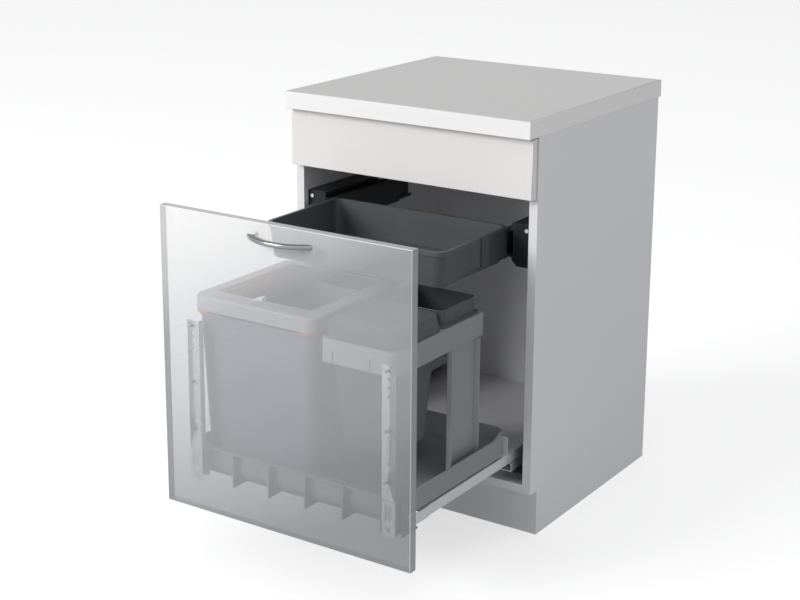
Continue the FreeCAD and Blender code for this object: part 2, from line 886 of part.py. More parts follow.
def middle_outline(width, stack, height, lip, thick, gap, shrink):
    """The I shape that runs in both channels, shrunk all round for its inside."""
    edge = thick + gap + shrink
    neck = lip + gap + shrink
    low, knee = edge, height - edge
    return [(edge, low), (width - edge, low), (width - edge, knee), (width - neck, knee),
            (width - neck, stack - knee), (width - edge, stack - knee), (width - edge, stack - low),
            (edge, stack - low), (edge, stack - knee), (neck, stack - knee), (neck, knee), (edge, knee)]


def make_slide(names, place, sizes, lengths):
    """Three members of one slide: fixed channel, middle member, moving channel.

    place turns a point of the section (across the slide, through its stack) into X and Z.
    lengths holds the front place and the length of each member. Gives the moving one.
    """
    width, stack, height, lip, thick = sizes
    gap = d.slide_gap
    fixed = channel_outline(width, height, lip, thick)
    moving = [(across_it, stack - up) for across_it, up in channel_outline(width, height, lip, thick)]
    sections = [
        [fixed],
        [middle_outline(width, stack, height, lip, thick, gap, 0),
         middle_outline(width, stack, height, lip, thick, gap, thick)],
        [moving],
    ]
    for name, loops, (front, length) in zip(names, sections, lengths):
        body = new_body(name)
        sketch = new_sketch(body, "XZ_Plane", -(size(front) + length))
        for loop in loops:
            outline(sketch, [place(u, v) for u, v in loop])
        pad(body, sketch, length)
        keep(body)
    return body


def make_runner(side):
    """Wall angle and full extension runner under one side of the base frame."""
    name = side_name(side)
    ledge = new_body("runner_angle_" + name)
    back = runner_closed + d.runner_length
    front = carcass_front + d.front_gap
    sketch = new_sketch(ledge, "XZ_Plane", -back)
    wall, web = side * inner, side * (inner - d.ledge_thick)
    near = side * runner_near
    low = d.runner_foot - d.ledge_thick
    outline(sketch, [(wall, low), (wall, low + d.ledge_height), (web, low + d.ledge_height),
                     (web, d.runner_foot), (near, d.runner_foot), (near, low)])
    pad(ledge, sketch, back - front)
    bores = new_sketch(ledge, "YZ_Plane", side * (inner - d.ledge_thick))
    circles(bores, [(y, ledge_screw_level) for y in ledge_screw_places()], d.screw_radius + d.screw_slack)
    pocket(ledge, bores, d.ledge_thick, forward=side > 0)
    keep(ledge)
    names = ["cabinet_rail_" + name, "middle_rail_" + name, "drawer_rail_" + name]
    sizes = (d.runner_width, d.runner_height, d.channel_height, d.channel_lip, d.channel_thick)
    lengths = [
        (runner_closed, d.runner_length),
        (runner_closed - d.pull_travel / 2 + d.middle_set, d.middle_length),
        (runner_closed - d.pull_travel, d.drawer_length),
    ]
    rail = make_slide(names, lambda u, v: (side * (runner_near + u), d.runner_foot + v), sizes, lengths)
    start = runner_closed - d.pull_travel
    web = runner_far - d.channel_thick / 2
    outside = runner_far + d.rail_nose_thick
    nose = new_sketch(rail, "XY_Plane", runner_top - d.channel_height)
    outline(nose, [(side * web, start + d.rail_nose_lap), (side * outside, start + d.rail_nose_lap),
                   (side * outside, start - d.rail_nose), (side * runner_far, start - d.rail_nose),
                   (side * runner_far, start), (side * web, start)])
    pad(rail, nose, d.channel_height)
    hook = new_sketch(rail, "XZ_Plane", -(frame_back + d.hook_thick))
    low = runner_top - d.channel_thick
    rectangle(hook, across(side, runner_far + d.rail_nose_thick - d.hook_width,
                           runner_far + d.rail_nose_thick), (low, low + d.hook_height))
    pad(rail, hook, d.hook_thick)


def make_runner_screws():
    screws = []
    for side in (-1, 1):
        way = "x" if side > 0 else "-x"
        for i, y in enumerate(ledge_screw_places()):
            seat = (side * (inner - d.ledge_thick), y, ledge_screw_level)
            label = "runner_screw_%s_%d" % (side_name(side), i)
            screws.append(screw(label, seat, way, d.ledge_thick + d.screw_bite))
    keep(group("runner_screws", screws))


# ---------------------------------------------------------------- large bin

def bin_span(inset, front_inset=None):
    front_inset = inset if front_inset is None else front_inset
    return ((bin_left + inset, bin_right - inset), (bin_front + front_inset, bin_back - inset))


def make_big_bin():
    """A tapered moulded bin with a turned-out lip."""
    body = new_body("big_bin")
    outer = d.bin_inset + 3
    foot_inset = outer + d.bin_taper
    low = new_sketch(body, "XY_Plane", floor_top)
    x, y = bin_span(foot_inset, outer + d.bin_front_taper)
    rounded_rectangle(low, x, y, d.bin_round)
    high = new_sketch(body, "XY_Plane", bin_top - d.bin_lip)
    x, y = bin_span(outer)
    rounded_rectangle(high, x, y, d.bin_round)
    loft(body, low, high)
    lip = new_sketch(body, "XY_Plane", bin_top - d.bin_lip)
    x, y = bin_span(d.bin_inset)
    rounded_rectangle(lip, x, y, d.bin_round)
    pad(body, lip, d.bin_lip)
    deep = new_sketch(body, "XY_Plane", floor_top + d.bin_wall)
    x, y = bin_span(foot_inset + d.bin_wall, outer + d.bin_front_taper + d.bin_wall)
    rounded_rectangle(deep, x, y, d.bin_round - d.bin_wall)
    mouth = new_sketch(body, "XY_Plane", bin_top)
    x, y = bin_span(outer + d.bin_wall)
    rounded_rectangle(mouth, x, y, d.bin_round - d.bin_wall)
    loft(body, deep, mouth, cut=True)
    return keep(body)


def make_bag_clamp():
    """The ring that pinches the bag's edge between the bin and its rim."""
    body = new_body("bag_clamp")
    ring = new_sketch(body, "XY_Plane", bin_top)
    x, y = bin_span(d.clamp_inset)
    rounded_rectangle(ring, x, y, d.bin_round - 4)
    x, y = bin_span(d.clamp_inset + d.clamp_thick)
    rounded_rectangle(ring, x, y, d.bin_round - 4 - d.clamp_thick)
    pad(body, ring, clamp_top - bin_top)
    return keep(body)


def make_bag_comb():
    """The slotted comb that holds the bag along the opening's left side."""
    body = new_body("bag_comb")
    seat = bin_left + d.clamp_inset + d.clamp_thick
    edge = bin_left + d.opening_left - 2
    front = bin_front + d.opening_front + d.comb_start
    back = front + d.comb_pitch * (d.comb_teeth + 1)
    shape = new_sketch(body, "XZ_Plane", -back)
    low = clamp_top - d.comb_drop
    inner_edge = edge - d.clamp_thick
    outline(shape, [(seat, clamp_top - d.clamp_thick), (inner_edge, clamp_top - d.clamp_thick),
                    (inner_edge, low), (edge, low), (edge, clamp_top), (seat, clamp_top)])
    pad(body, shape, back - front)
    slot = new_sketch(body, "YZ_Plane", edge)
    start = front + d.comb_pitch - d.slot_width / 2
    foot = low + d.slot_width
    rectangle(slot, (start, start + d.slot_width), (foot, foot + d.slot_height))
    first = pocket(body, slot, d.clamp_thick)
    pattern(body, first, "Y_Axis", d.comb_pitch, d.comb_teeth)
    return keep(body)


def make_corner_clips():
    """Clips round the bin's two front corners, under the rim and against the clamp ring."""
    clips = []
    for side in (-1, 1):
        name = side_name(side)
        body = new_body("corner_clip_" + name)
        sketch = new_sketch(body, "XY_Plane", bin_top)
        edge = bin_left + 1 if side < 0 else bin_right - 1
        deep = d.clamp_inset - 1
        front = bin_front + 1
        radius = d.bin_round - 1
        outline(sketch, [
            (edge, front + radius), (edge - side * radius, front), (edge - side * d.clip_front, front),
            (edge - side * d.clip_front, front + deep), (edge - side * radius, front + deep),
            (edge - side * deep, front + radius), (edge - side * deep, front + d.clip_side),
            (edge, front + d.clip_side),
        ], {0: (radius, -side), 4: (radius - deep, side)})
        pad(body, sketch, d.bag_frame_foot - 0.5)
        clips.append(body)
    return keep(group("corner_clips", clips))


def make_bag_frame():
    """The rim that covers the clamp and frames the opening."""
    body = new_body("bag_frame")
    outer = new_sketch(body, "XY_Plane", bag_frame_low)
    x, y = bin_span(size(0))
    rounded_rectangle(outer, x, y, d.bin_round)
    slab = pad(body, outer, d.bag_frame_height)
    fillet(body, slab, d.bag_frame_round, lambda edge: at_level(edge, bag_frame_top))
    under = new_sketch(body, "XY_Plane", bag_frame_low)
    x, y = bin_span(d.bag_frame_wall)
    rounded_rectangle(under, x, y, d.bin_round - d.bag_frame_wall)
    pocket(body, under, d.bag_frame_height - d.bag_frame_wall, forward=True)
    mouth = new_sketch(body, "XY_Plane", bag_frame_top)
    rounded_rectangle(mouth, (bin_left + d.opening_left, bin_right - d.opening_right),
                      (bin_front + d.opening_front, bin_back - d.opening_back), d.opening_round)
    pocket(body, mouth, d.bag_frame_wall)
    return keep(body)


def make_latch_tab():
    """A wedge that lifts the rim, hooked over the front edge of the opening."""
    body = new_body("latch_tab")
    right = (bin_left + bin_right) / 2 - d.latch_offset + d.latch_width / 2
    left = right - d.latch_width
    edge = bin_front + d.opening_front
    wedge = new_sketch(body, "XZ_Plane", -(edge + 2))
    outline(wedge, [(left, bag_frame_top), (right, bag_frame_top), (right, bag_frame_top + d.latch_height),
                    (right - d.latch_width / 4, bag_frame_top + d.latch_height), (left, bag_frame_top + 2)])
    pad(body, wedge, 12)
    hook = new_sketch(body, "XZ_Plane", -(edge + 2))
    rectangle(hook, (left, right), (bag_frame_top - 8, bag_frame_top + 1))
    pad(body, hook, 2)
    return keep(body)


# ---------------------------------------------------------------- holder, small bin, box

def make_holder():
    """The raised band that carries the small bin and the box by their rims."""
    body = new_body("holder_frame")
    span = (holder_left, holder_right)
    tight = d.holder_flange
    outer = new_sketch(body, "XY_Plane", holder_foot)
    rounded_rectangle(outer, span, (holder_front, holder_back), [tight, d.holder_round, tight, tight])
    pad(body, outer, d.holder_height)
    wall = d.holder_wall
    under = new_sketch(body, "XY_Plane", holder_foot)
    rounded_rectangle(under, (span[0] + wall, span[1] - wall), (holder_front + wall, holder_back - wall),
                      [tight - wall, d.holder_round - wall, tight - wall, tight - wall])
    pocket(body, under, d.holder_height - wall, forward=True)
    flange = d.holder_flange
    front_mouth = (holder_front + flange, bar_front)
    rear_mouth = (box_opening_front, holder_back - flange)
    mouth = new_sketch(body, "XY_Plane", holder_top)
    for y in (front_mouth, rear_mouth):
        rounded_rectangle(mouth, (span[0] + flange, span[1] - flange), y, d.holder_round - flange)
    pocket(body, mouth, wall)
    boss = new_sketch(body, "XZ_Plane", -holder_front - 1)
    boss_low = holder_foot + 5
    rectangle(boss, (strip_centre - d.boss_width / 2, holder_right - wall), (boss_low, boss_low + 9))
    pad(body, boss, holder_front - strip_back + 1)
    cuts = new_sketch(body, "XZ_Plane", -holder_front)
    under_edge = holder_foot - 1
    for start in (d.slit_left, d.slit_right):
        x = holder_left + start
        rectangle(cuts, (x, x + d.slit_width), (under_edge, holder_foot + d.slit_height))
    notch = d.holder_notch
    outline(cuts, [(holder_left - 1, under_edge), (holder_left + notch, under_edge),
                   (holder_left + notch, holder_foot), (holder_left, holder_foot + notch),
                   (holder_left - 1, holder_foot + notch)], {2: (notch, -1)})
    pocket(body, cuts, wall)
    return keep(body)


def make_holder_leg():
    """A channel section leg that stands in the base frame and carries the holder's rear."""
    body = new_body("holder_leg")
    web_out = holder_right - d.holder_wall - d.slide_gap
    web_in = web_out - d.leg_thick
    tip = web_in + d.leg_flange
    back = holder_back - d.leg_set
    front = back - d.leg_width
    thick = d.leg_thick
    web = new_sketch(body, "XY_Plane", floor_top)
    rectangle(web, (web_in, web_out), (front, back))
    pad(body, web, holder_foot + d.leg_lap - floor_top)
    flanges = new_sketch(body, "XY_Plane", floor_top)
    outline(flanges, [(web_in, front), (tip, front), (tip, front + thick), (web_out, front + thick),
                      (web_out, back - thick), (tip, back - thick), (tip, back), (web_in, back)])
    pad(body, flanges, holder_foot - floor_top)
    foot = new_sketch(body, "XY_Plane", floor_top)
    rectangle(foot, (web_in - d.leg_toe, tip), (front, back))
    pad(body, foot, thick)
    return keep(body)


def insert_spans(y_low, y_high, gap):
    """The space of something that hangs in one of the holder's mouths."""
    flange = d.holder_flange + gap
    return (holder_left + flange, holder_right - flange), (y_low + gap, y_high - gap)


def make_insert(name, foot, top, y_low, y_high, taper, rim_level):
    """A tapered bin that hangs by its rim on the holder."""
    body = new_body(name)
    x, y = insert_spans(y_low, y_high, d.seat_gap)
    wall = d.bin_wall
    radius = d.holder_round - d.holder_flange
    low = new_sketch(body, "XY_Plane", foot)
    rounded_rectangle(low, (x[0] + taper, x[1] - taper), (y[0] + taper, y[1] - taper), radius)
    high = new_sketch(body, "XY_Plane", top)
    rounded_rectangle(high, x, y, radius)
    loft(body, low, high)
    rim = new_sketch(body, "XY_Plane", rim_level)
    lap = d.seat_gap + d.rim_lap
    rounded_rectangle(rim, (x[0] - lap, x[1] + lap), (y[0] - lap, y[1] + lap), radius + d.rim_lap)
    pad(body, rim, d.rim_thick)
    deep = new_sketch(body, "XY_Plane", foot + wall)
    rounded_rectangle(deep, (x[0] + taper + wall, x[1] - taper - wall),
                      (y[0] + taper + wall, y[1] - taper - wall), radius - wall)
    mouth = new_sketch(body, "XY_Plane", top if top.value > rim_level.value + 5 else rim_level + d.rim_thick)
    rounded_rectangle(mouth, (x[0] + wall, x[1] - wall), (y[0] + wall, y[1] - wall), radius - wall)
    loft(body, deep, mouth, cut=True)
    return keep(body)


def make_lid():
    """The small bin's lid: steep walls, a slightly domed top, a crescent grip and a rear lug."""
    body = new_body("small_bin_lid")
    x, y = insert_spans(holder_front + d.holder_flange, bar_front, d.seat_gap)
    lap = d.seat_gap + d.rim_lap
    x, y = (x[0] - lap, x[1] + lap), (y[0] - lap, y[1] + lap)
    radius = d.holder_round - d.holder_flange + d.rim_lap
    base = holder_top + d.rim_thick

    def ring(inset, level):
        sketch = new_sketch(body, "XY_Plane", level)
        rounded_rectangle(sketch, (x[0] + inset, x[1] - inset), (y[0] + inset, y[1] - inset), radius)
        return sketch

    shoulder = base + d.lid_wall
    top = shoulder + d.lid_dome
    loft(body, ring(size(0), base), ring(d.lid_inset, shoulder))
    loft(body, ring(d.lid_inset, shoulder), ring(d.lid_slope, top))
    skin = d.lid_skin
    loft(body, ring(skin, base), ring(d.lid_inset + skin, shoulder - skin), cut=True)
    middle = (x[0] + x[1]) / 2
    grip = new_sketch(body, "XY_Plane", top)
    start = (y[0] + y[1]) / 2 + d.grip_sink
    wide = d.grip_width / 2
    outline(grip, [(middle - wide, start), (middle + wide, start)],
            {0: (bow_radius(d.grip_width, d.grip_depth), 1), 1: (bow_radius(d.grip_width, d.grip_inner), -1)})
    pocket(body, grip, d.grip_sink)
    lug = new_sketch(body, "XY_Plane", shoulder - skin)
    rear = y[1] - d.lid_inset
    rectangle(lug, (middle - d.lug_width / 2, middle + d.lug_width / 2), (rear - skin, rear))
    pad(body, lug, skin + d.lug_height)
    return keep(body)


# ---------------------------------------------------------------- utensil tray

def make_tray():
    """A flat moulded tray with a straight rim band and side cheeks for its slides."""
    body = new_body("tray")

    def ring(inset, level):
        sketch = new_sketch(body, "XY_Plane", level)
        rounded_rectangle(sketch, (-tray_half + inset, tray_half - inset),
                          (tray_front + inset, tray_back - inset), d.tray_round)
        return sketch

    lap, wall = d.tray_rim_lap, d.tray_wall
    rim_low = tray_top - d.tray_rim
    loft(body, ring(lap + d.tray_taper, tray_foot), ring(lap, rim_low))
    pad(body, ring(size(0), rim_low), d.tray_rim)
    cheeks = new_sketch(body, "XY_Plane", slide_low)
    front, inside = tray_front + d.slide_inner_set, tray_half - lap - d.tray_taper
    for side in (-1, 1):
        outline(cheeks, [(side * inside, front - d.cheek_slope), (side * tray_half, front),
                         (side * tray_half, tray_back - d.tray_round),
                         (side * inside, tray_back - d.tray_round)])
    pad(body, cheeks, rim_low - slide_low)
    loft(body, ring(lap + d.tray_taper + wall, tray_foot + wall), ring(lap + wall, tray_top), cut=True)
    return keep(body)


def make_housing(side):
    """A moulded case on the side board that holds the tray's slide in its open channel."""
    body = new_body("slide_housing_" + side_name(side))
    chamfer, slack = d.housing_chamfer, d.housing_slack
    sketch = new_sketch(body, "XZ_Plane", -housing_back)
    outline(sketch, [
        (side * inner, housing_foot), (side * inner, housing_top), (side * housing_near, housing_top),
        (side * housing_near, tray_top + slack), (side * slide_far, tray_top + slack),
        (side * slide_far, slide_low - slack), (side * housing_near, slide_low - slack),
        (side * housing_near, housing_foot + chamfer), (side * (housing_near + chamfer), housing_foot),
    ])
    pad(body, sketch, d.housing_length)
    spot = (side * (inner - d.housing_chamfer), housing_top - d.housing_chamfer)
    bore = new_sketch(body, "XZ_Plane", -housing_front)
    circles(bore, [spot], d.screw_radius + d.screw_slack)
    pocket(body, bore, d.pilot_depth)
    keep(body)
    seat = (spot[0], housing_front, spot[1])
    return screw("housing_screw_" + side_name(side), seat, "y", d.screw_bite)


def make_tray_slide(side):
    """The tray's slide; the member on the tray has a solid nose ahead of its channel."""
    name = side_name(side)
    names = ["tray_slide_outer_" + name, "tray_slide_middle_" + name, "tray_slide_inner_" + name]
    sizes = (d.slide_height, d.slide_stack, d.slide_channel, d.slide_lip, d.slide_thick)
    front = tray_front + d.slide_inner_set
    nose_back = front + d.slide_nose
    lengths = [
        (housing_front, d.slide_outer),
        (tray_front + d.slide_middle_set, d.slide_middle),
        (nose_back - d.slide_nose_lap, d.slide_inner - d.slide_nose + d.slide_nose_lap),
    ]
    member = make_slide(names, lambda u, v: (side * (slide_far - v), slide_low + u), sizes, lengths)
    far = tray_half + d.slide_channel
    nose = new_sketch(member, "XY_Plane", slide_low)
    outline(nose, [(side * tray_half, front), (side * (tray_half + d.slide_nose_step), front),
                   (side * far, front + d.slide_nose_slope), (side * far, nose_back),
                   (side * tray_half, nose_back)])
    pad(member, nose, d.slide_height)


# ---------------------------------------------------------------- assembly

make_worktop()
for side in (-1, 1):
    make_side_panel(side)
make_boards()
make_blank_front()
make_front_panel()
make_handle()
for side in (-1, 1):
    make_strip(side)
    make_adjuster(side)
make_front_fasteners()
make_base_frame()
for side in (-1, 1):
    make_runner(side)
make_runner_screws()
make_big_bin()
make_bag_clamp()
make_bag_comb()
make_corner_clips()
make_bag_frame()
make_latch_tab()
make_holder()
make_holder_leg()
make_insert("small_bin", floor_top + d.small_bin_lift, holder_top, holder_front + d.holder_flange,
            bar_front, d.small_taper, holder_top)
make_insert("rear_box", holder_top - d.box_hang, holder_top + d.box_rise, box_opening_front,
            holder_back - d.holder_flange, size(2), holder_top)
make_lid()
make_tray()
keep(group("housing_screws", [make_housing(side) for side in (-1, 1)]))
for side in (-1, 1):
    make_tray_slide(side)

doc.recompute()

# ---------------------------------------------------------------- checks and export

for item in doc.Objects:
    if "Invalid" in item.State or "Error" in item.State:
        raise RuntimeError("%s did not build: %s" % (item.Label, item.State))
    if item.TypeId in ("PartDesign::Pocket", "PartDesign::SubtractiveLoft"):
        if item.Shape.Volume > item.BaseFeature.Shape.Volume - 1:
            raise RuntimeError("%s cuts nothing" % item.Label)

facets = 0
for node in NODES:
    if node.Shape.isNull() or not node.Shape.isValid():
        raise RuntimeError("%s has no valid shape" % node.Label)
    facets += len(node.Shape.tessellate(0.2)[1])
    node.Shape.exportStep("parts/%s.step" % node.Label)
print("nodes", len(NODES), "facets", facets)
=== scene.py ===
import json
import math

import bmesh
import bpy
from mathutils import Matrix, Vector


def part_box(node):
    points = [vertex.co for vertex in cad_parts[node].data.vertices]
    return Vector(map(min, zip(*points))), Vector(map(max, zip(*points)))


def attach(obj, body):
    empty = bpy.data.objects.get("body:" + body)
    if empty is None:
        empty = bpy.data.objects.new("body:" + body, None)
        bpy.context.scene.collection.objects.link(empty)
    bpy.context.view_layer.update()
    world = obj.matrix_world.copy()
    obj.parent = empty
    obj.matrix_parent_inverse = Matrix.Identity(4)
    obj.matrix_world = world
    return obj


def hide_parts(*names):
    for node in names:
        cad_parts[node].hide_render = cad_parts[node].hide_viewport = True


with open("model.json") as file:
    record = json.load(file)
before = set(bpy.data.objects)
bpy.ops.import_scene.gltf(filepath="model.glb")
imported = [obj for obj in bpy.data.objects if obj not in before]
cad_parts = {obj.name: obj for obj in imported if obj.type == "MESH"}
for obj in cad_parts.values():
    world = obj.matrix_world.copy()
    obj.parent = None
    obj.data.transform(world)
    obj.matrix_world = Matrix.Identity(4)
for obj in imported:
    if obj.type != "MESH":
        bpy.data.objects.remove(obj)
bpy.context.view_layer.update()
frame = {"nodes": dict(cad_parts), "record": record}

MM = 0.001
NODES = frame["nodes"]
BODIES = frame["record"]["behaviour"]["bodies"]
BODY_OF = {node: body for body, nodes in BODIES.items() for node in nodes}
SLOT_OF = {part["node"]: part["material_slot"] for part in frame["record"]["subparts"]}


# ---------------------------------------------------------------- materials

class Shader:
    """One material's node tree, with short calls to add and join nodes."""

    def __init__(self, name):
        self.material = bpy.data.materials.new(name)
        self.material.use_nodes = True
        self.tree = self.material.node_tree
        self.tree.nodes.clear()
        self.output = self.add("ShaderNodeOutputMaterial")
        self.main = self.add("ShaderNodeBsdfPrincipled")
        self.join(self.main, "BSDF", self.output, "Surface")
        self.coordinates = self.add("ShaderNodeTexCoord")

    def add(self, kind, **settings):
        node = self.tree.nodes.new(kind)
        for key, value in settings.items():
            setattr(node, key, value)
        return node

    def join(self, source, output, target, socket):
        self.tree.links.new(source.outputs[output], target.inputs[socket])

    def noise(self, scale, detail=3, stretch=(1, 1, 1)):
        place = self.add("ShaderNodeMapping")
        place.inputs["Scale"].default_value = stretch
        self.join(self.coordinates, "Object", place, "Vector")
        noise = self.add("ShaderNodeTexNoise")
        noise.inputs["Scale"].default_value = scale
        noise.inputs["Detail"].default_value = detail
        self.join(place, "Vector", noise, "Vector")
        return noise

    def ramp(self, source, output, stops):
        ramp = self.add("ShaderNodeValToRGB")
        elements = ramp.color_ramp.elements
        while len(elements) < len(stops):
            elements.new(0.5)
        for element, (place, color) in zip(elements, stops):
            element.position = place
            element.color = (*color, 1)
        self.join(source, output, ramp, "Fac")
        return ramp

    def spread(self, source, output, low, high, start=0.0, end=1.0):
        """Maps start..end to low..high, and holds the ends."""
        scale = self.add("ShaderNodeMapRange")
        scale.inputs["From Min"].default_value = start
        scale.inputs["From Max"].default_value = end
        scale.inputs["To Min"].default_value = low
        scale.inputs["To Max"].default_value = high
        self.join(source, output, scale, "Value")
        return scale

    def math(self, operation, source, output, number=None, other=None):
        node = self.add("ShaderNodeMath", operation=operation)
        self.join(source, output, node, 0)
        if other:
            self.join(other[0], other[1], node, 1)
        elif number is not None:
            node.inputs[1].default_value = number
        return node

    def mix(self, factor, output, a, b):
        """Mixes two colours, each a tuple or a (node, output) pair, by a factor."""
        node = self.add("ShaderNodeMix", data_type="RGBA")
        self.join(factor, output, node, "Factor")
        for socket, value in (("A", a), ("B", b)):
            if isinstance(value[0], bpy.types.ShaderNode):
                self.join(value[0], value[1], node, socket)
            else:
                node.inputs[socket].default_value = (*value, 1)
        return node

    def facing(self, axis):
        """How squarely the surface faces along an axis, either way, 0 to 1."""
        geometry = self.add("ShaderNodeNewGeometry")
        split = self.add("ShaderNodeSeparateXYZ")
        self.join(geometry, "True Normal", split, "Vector")
        return self.math("ABSOLUTE", split, axis)

    def bump(self, source, output, height, strength=0.5):
        bump = self.add("ShaderNodeBump")
        bump.inputs["Distance"].default_value = height
        bump.inputs["Strength"].default_value = strength
        self.join(source, output, bump, "Height")
        self.join(bump, "Normal", self.main, "Normal")
        return bump


def shades(color, change):
    """Two ramp stops, a little darker and a little lighter than a colour."""
    return [(0.3, [c * (1 - change) for c in color]), (0.7, [c * (1 + change) for c in color])]


def plastic(name, color, rough=0.45, grain=0.012, change=0.04, shine=0.35, front=None):
    """Moulded plastic: a fine spark grain, slow colour drift and slightly uneven gloss.

    With a front colour, the faces square to the front and back are that shade, painted light that
    stands in for the stronger light falling on forward faces.
    """
    s = Shader(name)
    drift = s.noise(6, 2)
    ramp = s.ramp(drift, "Fac", shades(color, change))
    # Painted light: faces square to the front and back take the front colour, drawn lighter as if more
    # strongly lit.
    if front:
        painted_light_fore = s.ramp(drift, "Fac", shades(front, change))
        mix = s.mix(s.facing("Y"), "Value", (ramp, "Color"), (painted_light_fore, "Color"))
        s.join(mix, "Result", s.main, "Base Color")
    else:
        s.join(ramp, "Color", s.main, "Base Color")
    gloss = s.noise(40, 4)
    level = s.spread(gloss, "Fac", rough - 0.08, rough + 0.08)
    s.join(level, "Result", s.main, "Roughness")
    s.main.inputs["Specular IOR Level"].default_value = shine
    texture = s.noise(1500, 2)
    s.bump(texture, "Fac", grain * MM, 0.3)
    return s.material


def board(name, color, rough=0.38):
    """Melamine faced board or lacquered front: near plain, with faint cloudiness and a soft peel."""
    s = Shader(name)
    drift = s.noise(3.5, 4)
    ramp = s.ramp(drift, "Fac", shades(color, 0.012))
    s.join(ramp, "Color", s.main, "Base Color")
    gloss = s.noise(25, 3)
    level = s.spread(gloss, "Fac", rough - 0.05, rough + 0.06)
    s.join(level, "Result", s.main, "Roughness")
    s.main.inputs["Specular IOR Level"].default_value = 0.35
    peel = s.noise(420, 2)
    s.bump(peel, "Fac", 0.03 * MM, 0.25)
    return s.material


def laminate(name, top, edge, seam_z):
    """Worktop laminate: a fine speckle on top, a plain white band on the upright edges.

    Above the seam's height the band on the two sides shows the laminate's dark core.
    """
    s = Shader(name)
    speckle = s.noise(900, 3)
    ramp = s.ramp(speckle, "Fac", shades(top, 0.035))
    mix = s.mix(s.facing("Z"), "Value", edge, (ramp, "Color"))
    split = s.add("ShaderNodeSeparateXYZ")
    s.join(s.coordinates, "Object", split, "Vector")
    high = s.math("GREATER_THAN", split, "Z", seam_z)
    upright = s.math("LESS_THAN", s.facing("Z"), "Value", 0.5)
    line = s.math("MULTIPLY", high, "Value", other=(upright, "Value"))
    side = s.math("MULTIPLY", line, "Value", other=(s.facing("X"), "Value"))
    lined = s.mix(side, "Value", (mix, "Result"), (0.22, 0.22, 0.225))
    s.join(lined, "Result", s.main, "Base Color")
    gloss = s.noise(60, 3)
    level = s.spread(gloss, "Fac", 0.32, 0.42)
    s.join(level, "Result", s.main, "Roughness")
    s.main.inputs["Specular IOR Level"].default_value = 0.3
    peel = s.noise(1200, 2)
    s.bump(peel, "Fac", 0.03 * MM, 0.25)
    return s.material


def metal(name, color, rough, brushed, metallic):
    """Plated sheet, brushed along the axis whose scale is small."""
    s = Shader(name)
    s.main.inputs["Metallic"].default_value = metallic
    drift = s.noise(90, 3)
    ramp = s.ramp(drift, "Fac", shades(color, 0.02))
    s.join(ramp, "Color", s.main, "Base Color")
    lines = s.noise(500, 4, brushed)
    level = s.spread(lines, "Fac", rough - 0.06, rough + 0.08)
    s.join(level, "Result", s.main, "Roughness")
    s.bump(lines, "Fac", 0.004 * MM, 0.15)
    return s.material


def polished_with_painted_reflection(name, light, dark, rough=0.18):
    """Polished bar: bright on its upright faces, with a painted dark reflection where it turns up or
    down.
    """
    s = Shader(name)
    s.main.inputs["Metallic"].default_value = 1.0
    # Painted reflection: faces that turn up or down take the dark colour.
    turn = s.spread(s.facing("Z"), "Value", 0, 1, 0.35, 0.8)
    drift = s.noise(60, 3)
    ramp = s.ramp(drift, "Fac", shades(light, 0.03))
    mix = s.mix(turn, "Result", (ramp, "Color"), dark)
    s.join(mix, "Result", s.main, "Base Color")
    lines = s.noise(700, 3, (0.03, 1, 1))
    level = s.spread(lines, "Fac", rough - 0.05, rough + 0.07)
    s.join(level, "Result", s.main, "Roughness")
    return s.material


def painted(name, color, rough=0.5):
    """Powder coated steel with a fine pebble."""
    s = Shader(name)
    drift = s.noise(20, 3)
    ramp = s.ramp(drift, "Fac", shades(color, 0.08))
    s.join(ramp, "Color", s.main, "Base Color")
    s.main.inputs["Metallic"].default_value = 0.35
    pebble = s.noise(1400, 2)
    level = s.spread(pebble, "Fac", rough - 0.08, rough + 0.08)
    s.join(level, "Result", s.main, "Roughness")
    s.bump(pebble, "Fac", 0.02 * MM, 0.3)
    return s.material


MILK = (
    # share of the rise, milk density, red, green, blue
    (0.00, 0.60, 0.205, 0.210, 0.215), (0.13, 0.59, 0.235, 0.240, 0.250),
    (0.31, 0.55, 0.340, 0.348, 0.360), (0.50, 0.45, 0.430, 0.438, 0.450),
    (0.68, 0.37, 0.520, 0.526, 0.535), (0.82, 0.50, 0.750, 0.750, 0.752),
    (1.00, 0.50, 0.900, 0.896, 0.890),
)
MILK_TILT = 0.45  # metres that the milk's levels rise over each metre to the right
MILK_FOOT = 0.04  # metres above the lowest level where the rise starts
RIM_BELOW = 0.2   # faces less square to the front than this are the panel's rim
FLAT_ABOVE = 0.97  # faces more square to it than this are its front and back


